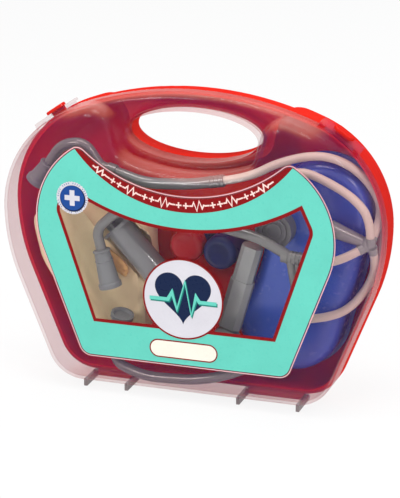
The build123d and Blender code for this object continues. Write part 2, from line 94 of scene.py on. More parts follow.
class Nodes:
    """A node tree, emptied, with short ways to add and join nodes."""

    def __init__(self, tree):
        self.tree = tree
        tree.nodes.clear()

    def node(self, kind, settings=None, **inputs):
        n = self.tree.nodes.new(kind)
        for key, value in (settings or {}).items():
            setattr(n, key, value)
        for key, value in inputs.items():
            self.put(n.inputs[key.replace("_", " ")], value)
        return n

    def put(self, socket, value):
        if isinstance(value, bpy.types.NodeSocket):
            self.tree.links.new(value, socket)
        else:
            socket.default_value = value

    def ranged(self, value, low, high, start=0.3, end=0.7):
        """low to high as the value goes from start to end, and no further."""
        n = self.node("ShaderNodeMapRange")
        for i, v in enumerate((value, start, end, low, high)):
            self.put(n.inputs[i], v)
        return n.outputs[0]

    def mixed(self, factor, a, b):
        """Two colours mixed: all a at 0, all b at 1."""
        n = self.node("ShaderNodeMix", {"data_type": "RGBA"})
        self.put(n.inputs[0], factor)
        self.put(n.inputs[6], a)
        self.put(n.inputs[7], b)
        return n.outputs[2]

    def math(self, operation, *values):
        n = self.node("ShaderNodeMath", {"operation": operation})
        for i, v in enumerate(values):
            self.put(n.inputs[i], v)
        return n.outputs[0]

    def both(self, factor, a, b):
        """Two shaders mixed: all a at 0, all b at 1."""
        n = self.node("ShaderNodeMixShader", Fac=factor)
        self.put(n.inputs[1], a)
        self.put(n.inputs[2], b)
        return n.outputs[0]

    def seen(self):
        """1 for a ray of the camera, a reflection or a refraction, and 0 for all other light."""
        rays = self.node("ShaderNodeLightPath").outputs
        direct = self.math("MAXIMUM", rays["Is Camera Ray"], rays["Is Glossy Ray"])
        return self.math("MAXIMUM", direct, rays["Is Transmission Ray"])


class Paint(Nodes):
    """A material's nodes, with textures in the object's own coordinates."""

    def __init__(self, name):
        self.material = bpy.data.materials.new(name)
        self.material.use_nodes = True
        super().__init__(self.material.node_tree)
        self.output = self.tree.nodes.new("ShaderNodeOutputMaterial")
        coordinates = self.tree.nodes.new("ShaderNodeTexCoord")
        self.where, self.normal = coordinates.outputs["Object"], coordinates.outputs["Normal"]

    def noise(self, scale, detail=2.0, roughness=0.5, stretch=None):
        where = self.where
        if stretch:
            mapping = self.node("ShaderNodeMapping", Vector=where, Scale=stretch)
            where = mapping.outputs[0]
        n = self.node("ShaderNodeTexNoise", Vector=where, Scale=scale, Detail=detail,
                      Roughness=roughness)
        return n.outputs["Fac"]

    def bump(self, height, strength, distance, normal=None):
        n = self.node("ShaderNodeBump", Strength=strength, Distance=distance, Height=height)
        if normal is not None:
            self.put(n.inputs["Normal"], normal)
        return n.outputs[0]

    def show(self, shader):
        """The material, with this shader on its surface."""
        self.tree.links.new(shader, self.output.inputs["Surface"])
        return self.material


def shade(colour, factor):
    """A linear colour made lighter or darker."""
    return tuple(min(1.0, c * factor) for c in colour[:3]) + (1.0,)


def plastic(name, rgb, rough=0.34, vary=0.10, grain=0.12, cloudy=30.0, sheen=0.32, deep=None,
            polish=None):
    """Moulded plastic: faint flow clouds, a fine moulded grain and handling marks in its gloss.
    polish is an even share of mirror for a deep colour that stays deep at a glance."""
    p = Paint(name)
    base = srgb(*rgb)
    clouds = p.ranged(p.noise(cloudy, 3.0, 0.55), 0.0, 1.0)
    colour = p.mixed(clouds, shade(base, 1 - vary), shade(base, 1 + vary))
    if deep is not None:
        streaks = p.ranged(p.noise(cloudy * 2.2, 2.0, 0.6, (1.0, 1.0, 0.35)), 0.0, 0.5)
        colour = p.mixed(streaks, colour, srgb(*deep))
    gloss = p.ranged(p.noise(260.0, 3.0, 0.65), max(0.03, rough - 0.07), rough + 0.09)
    skin = p.bump(p.noise(700.0, 1.0), grain * 0.4, 0.0001)
    skin = p.bump(p.noise(45.0, 1.0), 0.05, 0.0006, skin)
    shader = p.node("ShaderNodeBsdfPrincipled", Base_Color=colour, Roughness=gloss, Normal=skin)
    shader.inputs["Specular IOR Level"].default_value = 0.0 if polish else sheen
    if not polish:
        return p.show(shader.outputs[0])
    mirror = p.node("ShaderNodeBsdfGlossy", Color=(1, 1, 1, 1), Roughness=gloss, Normal=skin)
    return p.show(p.both(polish, shader.outputs[0], mirror.outputs[0]))


def metal(name, rgb, rough=0.3):
    """Drawn metal: fine lines along X."""
    p = Paint(name)
    base = srgb(*rgb)
    drawn = p.noise(700.0, 3.0, 0.6, (0.06, 1.0, 1.0))
    colour = p.mixed(p.ranged(drawn, 0.0, 1.0), shade(base, 0.86), shade(base, 1.08))
    shader = p.node("ShaderNodeBsdfPrincipled", Base_Color=colour,
                    Roughness=p.ranged(drawn, rough - 0.08, rough + 0.12),
                    Normal=p.bump(drawn, 0.1, 0.0001))
    shader.inputs["Metallic"].default_value = 1.0
    return p.show(shader.outputs[0])


def ink(name, rgb, vary=0.035, rough=0.3):
    """Printed film: slightly uneven ink under a satin varnish with fine orange peel."""
    p = Paint(name)
    base = srgb(*rgb)
    mottle = p.mixed(p.ranged(p.noise(38.0, 3.0, 0.6), 0.0, 1.0),
                     shade(base, 1 - vary), shade(base, 1 + vary))
    speckle = p.mixed(p.ranged(p.noise(1500.0, 1.0), 0.0, 0.10), mottle, shade(base, 0.72))
    shader = p.node("ShaderNodeBsdfPrincipled", Base_Color=speckle,
                    Roughness=p.ranged(p.noise(320.0, 2.0), rough - 0.05, rough + 0.07),
                    Normal=p.bump(p.noise(420.0, 1.0), 0.08, 0.00015))
    shader.inputs["Specular IOR Level"].default_value = 0.15
    return p.show(shader.outputs[0])


def clear(name, haze_rgb, tint, veil_rgb, haze=(0.02, 0.42), power=3.0, low=None, outside=None,
          painted_top_reflection=None):
    """Thin clear moulded plastic: it lets light through, mirrors more at a glance, and its
    haze thickens from veil_rgb to haze_rgb where the wall is seen edge on.
    low is a (height, colour, haze) for the solid feet under that height.
    outside is an oval, (half width, half height), its middle's height, and the extra haze and
    the tint beyond it, for walls thicker than the window.
    Its last argument, a (colour, haze, reach), is a painted reflection of the light above: pale
    haze on roundings that face up, and reach is the distance from the middle over which it fades."""
    p = Paint(name)
    facing = p.node("ShaderNodeLayerWeight", Blend=0.5).outputs["Facing"]
    grazing = p.math("POWER", facing, power)
    colour = p.mixed(p.ranged(grazing, 0.0, 1.0, 0.0, 0.35), srgb(*veil_rgb), srgb(*haze_rgb))
    amount = p.math("MULTIPLY_ADD", grazing, haze[1] - haze[0], haze[0])
    if outside:
        (width, height), middle, extra, deep_tint = outside
        spot = p.node("ShaderNodeMapping", Vector=p.where, Location=(0, 0, -middle / height),
                      Scale=(1 / width, 0.0, 1 / height))
        reach = p.node("ShaderNodeVectorMath", {"operation": "LENGTH"}, Vector=spot.outputs[0])
        beyond = p.ranged(reach.outputs["Value"], 0.0, 1.0, 0.95, 1.2)
        tint = p.mixed(beyond, tint, deep_tint)
        amount = p.math("ADD", amount, p.math("MULTIPLY", beyond, extra))
    # Painted reflection of the light above: pale haze where the normal faces up, fading away from
    # the middle.
    if painted_top_reflection:
        top_reflection_rgb, extra, reach = painted_top_reflection
        tilt = p.node("ShaderNodeSeparateXYZ", Vector=p.normal)
        upward = p.math("POWER", p.math("MAXIMUM", tilt.outputs[2], 0.0), 2.4)
        sideways = p.math("ABSOLUTE", p.node("ShaderNodeSeparateXYZ", Vector=p.where).outputs[0])
        upward = p.math("MULTIPLY", upward, p.ranged(sideways, 1.0, 0.0, *reach))
        colour = p.mixed(p.ranged(upward, 0.0, 1.0, 0.02, 0.3), colour, srgb(*top_reflection_rgb))
        amount = p.math("ADD", amount, p.math("MULTIPLY", upward, extra))
    if low:
        top, low_rgb, share = low
        height = p.node("ShaderNodeSeparateXYZ", Vector=p.where).outputs[2]
        foot = p.ranged(height, 1.0, 0.0, top * 0.9, top * 1.1)
        colour = p.mixed(foot, colour, srgb(*low_rgb))
        amount = p.math("MAXIMUM", amount, p.math("MULTIPLY", foot, share))
    through = p.node("ShaderNodeBsdfTransparent", Color=tint)
    gloss, glance, mirror_edge, mirror_face = 0.05, 9.0, 0.45, 0.009
    shine = p.node("ShaderNodeBsdfGlossy", Color=(1, 1, 1, 1),
                   Normal=p.bump(p.noise(60.0, 1.0), 0.10, 0.0006),
                   Roughness=p.ranged(p.noise(210.0, 2.0), gloss, gloss + 0.06))
    mirror = p.math("MULTIPLY_ADD", p.math("POWER", facing, glance), mirror_edge, mirror_face)
    glass = p.both(mirror, through.outputs[0], shine.outputs[0])
    milk = p.node("ShaderNodeBsdfPrincipled", Base_Color=colour, Roughness=0.25)
    milk.inputs["Specular IOR Level"].default_value = 0.2
    clouds = p.ranged(p.noise(24.0, 3.0, 0.6), 0.85, 1.15)
    return p.show(p.both(p.math("MULTIPLY", amount, clouds), glass, milk.outputs[0]))


def cloth(name, rgb, slub_and_gap_shade_rgb):
    """Plain-woven cotton: crossed threads, slubs and a soft fuzz; its second colour makes the
    darker slubs and is also painted shade in the gaps between the threads.
    """
    p = Paint(name)
    base, slub_and_gap_shade = srgb(*rgb), srgb(*slub_and_gap_shade_rgb)
    warp, weft = (
        p.node("ShaderNodeTexWave", {"wave_type": "BANDS", "bands_direction": axis},
               Vector=p.where, Scale=330.0, Distortion=1.2).outputs["Fac"]
        for axis in "XZ"
    )
    weave = p.math("MAXIMUM", warp, weft)
    broad = p.mixed(p.ranged(p.noise(26.0, 3.0, 0.6), 0.0, 1.0),
                    shade(base, 0.97), shade(base, 1.1))
    slub = p.mixed(p.ranged(p.noise(520.0, 3.0, 0.7, (1.0, 1.0, 0.4)), 0.0, 0.12), broad, slub_and_gap_shade)
    # Painted shade in the gaps between the woven threads.
    thread = p.mixed(p.ranged(weave, 0.25, 0.0, 0.4, 1.0), slub, slub_and_gap_shade)
    shader = p.node("ShaderNodeBsdfPrincipled", Base_Color=thread, Roughness=0.85,
                    Normal=p.bump(weave, 0.35, 0.0002, p.bump(p.noise(120.0, 3.0), 0.3, 0.0006)))
    shader.inputs["Sheen Weight"].default_value = 0.25
    shader.inputs["Sheen Roughness"].default_value = 0.5
    return p.show(shader.outputs[0])


red_shell = plastic("red shell", (222, 30, 8), 0.2, 0.05, 0.03, 12.0, deep=(196, 12, 10),
                    polish=0.018)
clear_shell = clear("clear shell", (206, 126, 128), (0.975, 0.965, 0.96, 1.0), (104, 30, 150),
                    haze=(0.010, 0.50), power=6.5, low=(0.0052, (134, 122, 124), 0.75),
                    outside=((0.098, 0.072), 0.104, 0.042, (0.968, 0.918, 0.905, 1.0)),
                    painted_top_reflection=((240, 146, 138), 0.15, (0.080, 0.096)))
steel = metal("steel", (188, 190, 193))
grey_plastic = plastic("grey plastic", (148, 151, 151), 0.2, 0.08, 0.1, sheen=0.8)
arm_grey = plastic("arm grey", (116, 117, 116), 0.17, 0.08, 0.06, sheen=0.9)
gauge_grey = plastic("gauge grey", (112, 112, 116), 0.34, 0.08, 0.12, sheen=0.5)
soft_tip = plastic("soft tip", (124, 127, 129), 0.42, 0.08, 0.3)
hose_vinyl = plastic("hose vinyl", (226, 210, 200), 0.32, 0.06, 0.05, 40.0)
blue_plastic = plastic("blue plastic", (56, 92, 198), 0.22, 0.08, 0.06, 18.0, sheen=0.6)
syringe_grey = plastic("syringe grey", (124, 126, 128), 0.17, 0.07, 0.05, sheen=0.9)
plunger_grey = plastic("plunger grey", (140, 142, 144), 0.3, 0.07, 0.1)
rubber = plastic("black rubber", (30, 30, 32), 0.62, 0.1, 0.3)
red_plastic = plastic("red plastic", (190, 24, 28), 0.3, 0.08, 0.08)
navy_plastic = plastic("navy plastic", (28, 44, 104), 0.3, 0.08, 0.08)
dome_clear = clear("dome clear", (210, 220, 235), (0.92, 0.95, 0.98, 1.0), (150, 160, 200))
cotton = cloth("cotton", (255, 228, 186), (222, 172, 122))
# A darker, tanner copy of the cotton for the bandage's rolled edge: painted shade.
fold_cotton_painted_shade = cloth("fold cotton painted shade", (232, 178, 118), (176, 120, 68))

turquoise = ink("turquoise ink", (104, 207, 189))
red_ink = ink("red ink", (136, 5, 12))
white_ink = ink("white ink", (216, 213, 220))
pale_ink = ink("pale ink", (250, 214, 206))
navy_ink = ink("navy ink", (14, 32, 68))
teal_ink = ink("teal ink", (24, 128, 116))
blue_ink = ink("blue ink", (26, 72, 146))
cream_ink = ink("cream ink", (246, 240, 226))
# A painted highlight on the rim of the label's seat, and a painted shadow along the label's edge.
seat_glint = plastic("seat glint", (232, 178, 182), 0.2, 0.12, 0.0, 20.0)
seat_shade = plastic("seat shade", (86, 44, 50), 0.4, 0.1, 0.0, 20.0)


def finish_node(name, material):
    """One material all over a carried CAD node."""
    obj = nodes[name]
    if not obj.material_slots:
        obj.data.materials.append(material)
    for s in obj.material_slots:
        s.material = material


for material, names in (
    (red_shell, "back_shell"),
    (clear_shell, "front_shell"),
    (steel, "left_hinge_pin right_hinge_pin"),
    (arm_grey, "headset bell_arm bell_joint bell_hook"),
    (gauge_grey, "pressure_gauge"),
    (grey_plastic, "tee_connector scope_handle scope_head scope_cone hose_plug"),
    (soft_tip, "upper_ear_tip lower_ear_tip bell_tip"),
    (blue_plastic, "kidney_dish"),
    (syringe_grey, "syringe_barrel"),
    (plunger_grey, "syringe_plunger"),
    (rubber, "syringe_seal"),
    (red_plastic, "red_jar_lid"),
    (navy_plastic, "navy_jar_lid navy_jar red_jar"),
    (dome_clear, "navy_jar_dome"),
):
    for name in names.split():
        finish_node(name, material)


# ------------------------------------------------------------------- hoses
HOSE = 6.0           # diameter of the hoses, mm


def hose(name, points, node):
    """A soft vinyl hose on one smooth curve through the case; points and length in mm."""
    data = bpy.data.curves.new(name, "CURVE")
    data.dimensions = "3D"
    data.bevel_depth = HOSE / 2 * MM
    data.bevel_resolution = 6
    data.resolution_u = 14
    data.use_fill_caps = True
    spline = data.splines.new("NURBS")
    spline.points.add(len(points) - 1)
    for control, point in zip(spline.points, points):
        control.co = (*place(*point), 1.0)
    spline.order_u = 3
    spline.use_endpoint_u = True
    data.materials.append(hose_vinyl)
    obj = added(name, data)
    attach(obj, CASE)
    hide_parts(node)


hose(
    "headset_tube",
    [(82.5, -20, 105.6), (97.5, -20, 104.6), (109, -15.5, 106.8), (118.4, -9.4, 112)],
    "headset_hose",
)
hose(
    "bell_tube",
    [(126.6, -1.6, 120.8), (130.2, 5, 131.5), (127.3, 8.5, 147), (112.5, 1, 167.5),
     (91, -6, 177), (63, -11, 170.5), (41.65, -14, 158.1), (24.5, -14, 154.6)],
    "bell_hose",
)
hose(
    "gauge_tube",
    [(126.4, -8.6, 122), (126.6, -11, 136), (115.5, -11.5, 149.5), (97, -12, 159.6),
     (77, -12.6, 166.6), (60, -10.4, 155.4), (59.4, -8, 136.4)],
    "gauge_hose",
)
hose(
    "plug_tube",
    [(127.3, -3.6, 110), (127.6, 4.5, 97.5), (121.6, 5.5, 81), (110.5, -1.6, 66.5),
     (95, -5.4, 59.8), (80, -6, 57.4)],
    "plug_hose",
)


# ---------------------------------------------------------------- outlines
# Outlines are lists of (x, z) in case coordinates, mm; angles are in degrees.
def arc(cx, cz, radius, start, end, steps=40):
    turns = [math.radians(start + (end - start) * i / steps) for i in range(steps + 1)]
    return [(cx + radius * math.cos(t), cz + radius * math.sin(t)) for t in turns]


def blended(before, after, radius):
    """Two runs that meet in a corner, joined by an arc of about that radius."""
    def cut(run, distance):
        """The run shortened by that distance at its end, and the way back along it."""
        left = distance
        for i in range(len(run) - 1, 0, -1):
            a, b = Vector(run[i]), Vector(run[i - 1])
            if (a - b).length >= left:
                end = a + (b - a).normalized() * left
                return run[:i] + [tuple(end)], (a - b).normalized()
            left -= (a - b).length
        raise ValueError("a run is shorter than its corner")

    near = (Vector(before[-1]) - Vector(before[-2])).angle(Vector(after[1]) - Vector(after[0]))
    distance = radius * math.tan(near / 2)
    head, u = cut(before, distance)
    tail, v = cut(after[::-1], distance)
    p, q = Vector(head[-1]), Vector(tail[-1])
    turn = u.angle(-v)
    across = u.x * -v.y + u.y * v.x
    reach = ((q - p).x * -v.y + (q - p).y * v.x) / across
    middle, weight = p + u * reach, math.cos(turn / 2)
    curve = []
    for i in range(1, 16):
        t = i / 16
        a, b, c = (1 - t) ** 2, 2 * weight * t * (1 - t), t * t
        curve.append(tuple((p * a + middle * b + q * c) / (a + b + c)))
    return head + curve + tail[::-1]


def mirrored(half):
    """The closed outline of a right half that runs from its foot to its top on the centre line."""
    return half + [(-x, z) for x, z in half[-2:0:-1]]


def grown(loop, margin):
    """A closed outline moved outward by margin."""
    area = sum(a[0] * b[1] - b[0] * a[1] for a, b in zip(loop, loop[1:] + loop[:1]))
    sign = 1 if area > 0 else -1
    result = []
    for before, here, after in zip(loop[-1:] + loop[:-1], loop, loop[1:] + loop[:1]):
        u = (Vector(here) - Vector(before)).normalized()
        v = (Vector(after) - Vector(here)).normalized()
        m, n = Vector((u.y, -u.x)), Vector((v.y, -v.x))
        way = (m + n) / max(0.2, 1 + m.dot(n))
        result.append(tuple(Vector(here) + way * margin * sign))
    return result


def circle(cx, cz, radius, steps=96):
    return arc(cx, cz, radius, 0, 360 * (steps - 1) / steps, steps - 1)


def ribbon(points, width):
    """The outline of a stroke of that width."""
    left, right = [], []
    last = len(points) - 1
    for i, here in enumerate(points):
        a, b, c = Vector(points[max(0, i - 1)]), Vector(here), Vector(points[min(last, i + 1)])
        u = (b - a).normalized() if i else (c - b).normalized()
        v = (c - b).normalized() if i < last else u
        m, n = Vector((-u.y, u.x)), Vector((-v.y, v.x))
        way = (m + n) / max(0.35, 1 + m.dot(n)) * width / 2
        left.append(tuple(b + way))
        right.append(tuple(b - way))
    return left + right[::-1]


def plus(cx, cz, arm, width, turn=0.0):
    """A plus sign, turned by an angle in radians."""
    w = width / 2
    corners = [(w, arm), (-w, arm), (-w, w), (-arm, w), (-arm, -w), (-w, -w),
               (-w, -arm), (w, -arm), (w, -w), (arm, -w), (arm, w), (w, w)]
    c, s = math.cos(turn), math.sin(turn)
    return [(cx + x * c - z * s, cz + x * s + z * c) for x, z in corners]


def heart(cx, cz, size):
    loop = []
    for i in range(120):
        t = 2 * math.pi * i / 120
        x = 16 * math.sin(t) ** 3
        z = 13 * math.cos(t) - 5 * math.cos(2 * t) - 2 * math.cos(3 * t) - math.cos(4 * t)
        loop.append((cx + x * size / 16, cz + (z + 2.5) * size / 16))
    return loop


def stadium(cx, cz, length, width, steps=24):
    """A bar with round ends."""
    half = length / 2 - width / 2
    return (arc(cx + half, cz, width / 2, -90, 90, steps)
            + arc(cx - half, cz, width / 2, 90, 270, steps))


# ------------------------------------------------------- flat printed film
def dressed(mesh, material, smooth):
    """The mesh with one material, shaded smooth or flat."""
    mesh.polygons.foreach_set("use_smooth", [smooth] * len(mesh.polygons))
    mesh.materials.clear()
    mesh.materials.append(material)
    return mesh


def flat(name, loops, y, thickness, material):
    """A thin flat piece on the lid with its face at y, mm; later loops can be holes."""
    data = bpy.data.curves.new(name, "CURVE")
    data.dimensions = "2D"
    data.fill_mode = "BOTH"
    data.extrude = thickness * MM / 2
    for loop in loops:
        spline = data.splines.new("POLY")
        spline.points.add(len(loop) - 1)
        for control, (x, z) in zip(spline.points, loop):
            control.co = (x * MM, (z + FOOT) * MM, 0, 1)
        spline.use_cyclic_u = True
    curve = added(name, data)
    bpy.context.view_layer.update()
    mesh = bpy.data.meshes.new_from_object(curve)
    bpy.data.objects.remove(curve)
    mesh.transform(
        Matrix.Translation((0, (y + thickness / 2) * MM, 0)) @ Matrix.Rotation(math.pi / 2, 4, "X")
    )
    obj = added(name, dressed(mesh, material, False))
    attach(obj, LID)
    return obj


SIDE_CENTRE, SIDE_RADIUS = (46, 121), 61         # the label's round sides
SIDE_LEAN, LABEL_FOOT = 20.6, 23.5               # its straight sides and its lower edge
TOP_CENTRE, TOP_RADIUS = 255.5, 111              # its hollow upper edge
LABEL_CORNER = (75.66, 174.32)                   # where a round side meets the upper edge
BAND_CENTRE, BAND_RADIUS = 233.5, 99.0           # lower edge of the band along the top
BAND_MIDDLE = 96.0                               # radius by which lengths on the band count
EMBLEM, BADGE, PLATE = (0, 71.9), (-80.8, 137.4), (0, 34)
STROKE = 1.05                                    # width of the lines on the band


def label_loop():
    """The label's outline."""
    side_x, side_z = SIDE_CENTRE
    corner_x, corner_z = LABEL_CORNER
    rise = math.degrees(math.atan2(corner_z - side_z, corner_x - side_x))
    side = arc(side_x, side_z, SIDE_RADIUS, -SIDE_LEAN, rise, 60)
    end_x, end_z = side[-1]
    foot_x = side[0][0] - (side[0][1] - LABEL_FOOT) * math.tan(math.radians(SIDE_LEAN))
    foot = (foot_x, LABEL_FOOT)
    top = arc(0, TOP_CENTRE, TOP_RADIUS, math.degrees(math.atan2(end_z - TOP_CENTRE, end_x)),
              -90, 60)
    low = [(0.0, LABEL_FOOT), foot]
    return mirrored(blended(blended(low, [foot] + side, 8), [side[-1]] + top[1:], 6))


def window_loop():
    """The label's window: an arched upper edge, a belly and a straight foot."""
    lowest, radius, tip_x = 120.7, 160, 84
    foot, belly = (65.2, 50.4), (91.2, 129.0)
    top = [(x, lowest + radius - math.sqrt(radius**2 - x * x)) for x in np.linspace(tip_x, 0, 50)]
    low = [(0.0, foot[1]), foot, belly]
    return mirrored(blended(low, [belly, top[0]], 8) + top[1:])


label = label_loop()
window = window_loop()


def inside_band(point):
    return math.hypot(point[0], point[1] - BAND_CENTRE) < BAND_RADIUS


def band_loop():
    """The part of the label above the band's curved lower edge."""
    start = next(i for i, p in enumerate(label) if not inside_band(p))
    above = [p for p in label[start:] + label[:start] if inside_band(p)]
    ends = [math.degrees(math.atan2(z - BAND_CENTRE, x)) for x, z in (above[-1], above[0])]
    return above + arc(0, BAND_CENTRE, BAND_RADIUS, *ends, 80)


def on_band(along, height):
    """A point on the band: along its middle, and across it from -1 to 1."""
    phi = along / BAND_MIDDLE
    apart = TOP_CENTRE - BAND_CENTRE
    upper = -apart * math.cos(phi) + math.sqrt(
        apart**2 * math.cos(phi) ** 2 + (TOP_RADIUS**2 - apart**2)
    )
    middle, half = (BAND_RADIUS + upper) / 2, (BAND_RADIUS - upper) / 2
    r = middle - height * half * 0.72
    return r * math.sin(phi), BAND_CENTRE - r * math.cos(phi)


def band_motif():
    """Plus signs in pairs and pulse lines along the band."""
    loops = []
    unit, count, apart, ends = 25.4, 6, 2.7, 72
    beat = ((-7.5, 0), (-5.2, 0), (-4.0, 0.75), (-2.2, -1.0), (0.2, 1.0), (1.8, -0.55),
            (3.2, 0.12), (4.4, 0), (7.5, 0))
    for n in range(count):
        middle = (n - (count - 1) / 2) * unit
        loops.append(ribbon([on_band(middle + along, height) for along, height in beat], STROKE))
    for n in range(count + 1):
        at = (n - count / 2) * unit
        if abs(at) < ends:
            for shift in (-apart, apart):
                loops.append(plus(*on_band(at + shift, 0), 2.1, STROKE, at / BAND_MIDDLE))
    return loops


def badge_edge():
    """The badge's outline, with fine scallops."""
    radius, count, depth = 11.65, 36, 0.32
    loop = []
    for i in range(count * 6):
        t = 2 * math.pi * i / (count * 6)
        r = radius + depth * math.cos(count * t)
        loop.append((BADGE[0] + r * math.cos(t), BADGE[1] + r * math.sin(t)))
    return loop


def badge_ticks():
    """Short strokes round the badge, in groups of four."""
    inner, outer, width, count, group = 10.0, 11.0, 0.42, 40, 5
    ticks = []
    for i in range(count):
        if i % group:
            t = 2 * math.pi * (i + 0.5) / count
            u = Vector((math.cos(t), math.sin(t)))
            ends = [tuple(Vector(BADGE) + u * reach) for reach in (inner, outer)]
            ticks.append(ribbon(ends, width))
    return ticks


def pulse(right=0.0, down=0.0):
    """The emblem's pulse line, moved a little for its shadow."""
    line = [(-24.5, -1), (-11, -1), (-8, 4.5), (-4.5, -8), (1.5, 13), (6, -11.5), (9.5, 3),
            (12, -1), (24.5, -1)]
    return ribbon([(x + right, EMBLEM[1] + z - down) for x, z in line], 2.6)


# The seat's face is at y -31.6; no two films share a face.
# A pale line round the label: painted highlight on the seat's rim.
flat("seat_painted_highlight", [grown(label, 1.45), grown(label, 0.75)], -31.64, 0.03, seat_glint)
# A dark line along the label's edge: painted shadow.
flat("label_edge_painted_shadow", [grown(label, 0.45), grown(label, 0.02)], -31.65, 0.03, seat_shade)
flat("label_field", [label, window], -31.68, 0.06, turquoise)
flat("label_band", [band_loop()], -31.74, 0.06, red_ink)
flat("window_line", [grown(window, 2.1), grown(window, -0.3)], -31.74, 0.12, red_ink)
disc = flat("emblem_disc", [circle(*EMBLEM, 28.6)], -31.82, 0.20, white_ink)
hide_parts("label_print")
flat("emblem_ring", [circle(*EMBLEM, 29.5), circle(*EMBLEM, 28.3)], -31.87, 0.26, red_ink)
flat("band_motif", band_motif(), -31.79, 0.05, pale_ink)
flat("emblem_heart", [heart(*EMBLEM, 20.5)], -31.87, 0.05, navy_ink)
flat("emblem_shadow", [pulse(0.7, 1.0)], -31.93, 0.06, teal_ink)
flat("emblem_pulse", [pulse()], -32.0, 0.07, turquoise)
flat("badge_ring", [badge_edge()], -31.80, 0.05, white_ink)
flat("badge_shadow", [circle(BADGE[0] + 0.35, BADGE[1] - 0.45, 9.5)], -31.86, 0.06, navy_ink)
flat("badge_field", [circle(*BADGE, 8.9)], -31.92, 0.06, blue_ink)
flat("badge_plus", [plus(*BADGE, 5.6, 3.6)], -31.98, 0.06, white_ink)
flat("badge_ticks", badge_ticks(), -31.86, 0.06, blue_ink)
flat("plate_field", [stadium(*PLATE, 49.4, 12.6)], -31.76, 0.10, cream_ink)
flat("plate_rim", [stadium(*PLATE, 50.2, 13.4), stadium(*PLATE, 48.4, 11.6)], -31.81, 0.15,
     red_ink)


# ------------------------------------------------------------ bandage pack
def places(mesh):
    """The vertices' places as rows of an array."""
    co = np.zeros(len(mesh.vertices) * 3)
    mesh.vertices.foreach_get("co", co)
    return co.reshape(-1, 3)


def normals(mesh):
    """The vertices' normals as rows of an array."""
    normal = np.zeros(len(mesh.vertices) * 3)
    mesh.vertices.foreach_get("normal", normal)
    return normal.reshape(-1, 3)


def moved_to(mesh, co):
    mesh.vertices.foreach_set("co", co.ravel())
    mesh.update()


def as_shown(obj):
    """A copy of the object's mesh with its modifiers applied."""
    bpy.context.view_layer.update()
    graph = bpy.context.evaluated_depsgraph_get()
    return bpy.data.meshes.new_from_object(obj.evaluated_get(graph))


FRAMES = 20          # length of the simulation


def crumpled(mesh, start_inset, reach):
    """Cloth that starts a little inside the form and swells into wrinkles, held within reach."""
    moved_to(mesh, places(mesh) - normals(mesh) * start_inset)
    start = places(mesh)
    obj = added("crumple", mesh)
    cloth_modifier = obj.modifiers.new("cloth", "CLOTH")
    settings = cloth_modifier.settings
    settings.quality = 6
    settings.mass = 0.1
    settings.tension_stiffness = settings.compression_stiffness = 12
    settings.shear_stiffness = 6
    settings.bending_stiffness = 0.05
    settings.use_pressure = True
    settings.uniform_pressure_force = 0.6
    settings.shrink_min = -0.2
    settings.effector_weights.gravity = 0
    cloth_modifier.collision_settings.use_collision = False
    for step in range(1, FRAMES + 1):
        scene.frame_set(step)
    result = as_shown(obj)
    way = places(result) - start
    length = np.maximum(np.linalg.norm(way, axis=1), 1e-9)
    way *= np.minimum(1.0, reach / length)[:, None]
    scene.frame_set(1)
    bpy.data.objects.remove(obj)
    moved_to(result, start + way)
    return result


def bandage():
    """Folded cotton bandage: the pack's form, crumpled as cloth, with pressed creases."""
    obj = added("bandage_form", nodes["bandage_pack"].data.copy())
    remesh = obj.modifiers.new("remesh", "REMESH")
    remesh.mode = "VOXEL"
    remesh.voxel_size = 2.8 * MM
    smooth = obj.modifiers.new("smooth", "SMOOTH")
    smooth.factor, smooth.iterations = 0.5, 3
    mesh = as_shown(obj)
    bpy.data.objects.remove(obj)
    mesh = crumpled(mesh, 2.3 * MM, 2.1 * MM)
    obj = added("bandage_form", mesh)
    finer = obj.modifiers.new("finer", "SUBSURF")
    finer.levels = finer.render_levels = 1
    mesh = as_shown(obj)
    bpy.data.objects.remove(obj)
    even, broad, fine = 0.2, 0.35, 0.2
    # from, to, depth and half width, mm
    creases = (
        ((-112, 90), (-60, 36), 0.7, 2.2), ((-104, 121), (-72, 60), 0.7, 3.0),
        ((-90, 124), (-84, 36), 0.5, 2.0), ((-60, 30), (-40, 60), 0.6, 2.4),
    )
    co, normal = places(mesh), normals(mesh)
    depths = np.zeros(len(co))
    for i, p in enumerate(co):
        x, z = p[0] / MM, p[2] / MM - FOOT
        depth = even + broad * noise.noise(Vector((x / 17, p[1] * 40, z / 23)))
        depth += fine * noise.noise(Vector((x / 5.5, 3.0, z / 7.0)))
        for a, b, deep, wide in creases:
            a, b, here = Vector(a), Vector(b), Vector((x, z))
            t = max(0.0, min(1.0, (here - a).dot(b - a) / (b - a).length_squared))
            away = (here - (a + (b - a) * t)).length
            depth += deep * math.exp(-((away / wide) ** 2))
        depths[i] = max(0.0, depth)
    moved_to(mesh, co - normal * (depths * MM)[:, None])
    piece = added("bandage_cloth", dressed(mesh, cotton, True))
    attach(piece, CASE)
    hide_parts("bandage_pack")


bandage()


# -------------------------------------------------- cloth fold and tip beads
def mesh_piece(name, points, faces, material):
    """A smooth mesh piece on the case from points in case coordinates, mm."""
    mesh = bpy.data.meshes.new(name)
    mesh.from_pydata([place(*p) for p in points], [], faces)
    obj = added(name, dressed(mesh, material, True))
    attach(obj, CASE)
    return obj


def through(points, steps):
    """A smooth line through a few points."""
    padded = [points[0]] + list(points) + [points[-1]]
    line = []
    for a, b, c, d in zip(padded, padded[1:], padded[2:], padded[3:]):
        for k in range(steps):
            t = k / steps
            line.append(tuple(
                0.5 * (2 * q + (r - p) * t + (2 * p - 5 * q + 4 * r - s) * t * t
                       + (3 * q - p - 3 * r + s) * t ** 3)
                for p, q, r, s in zip(a, b, c, d)
            ))
    return line + [points[-1]]


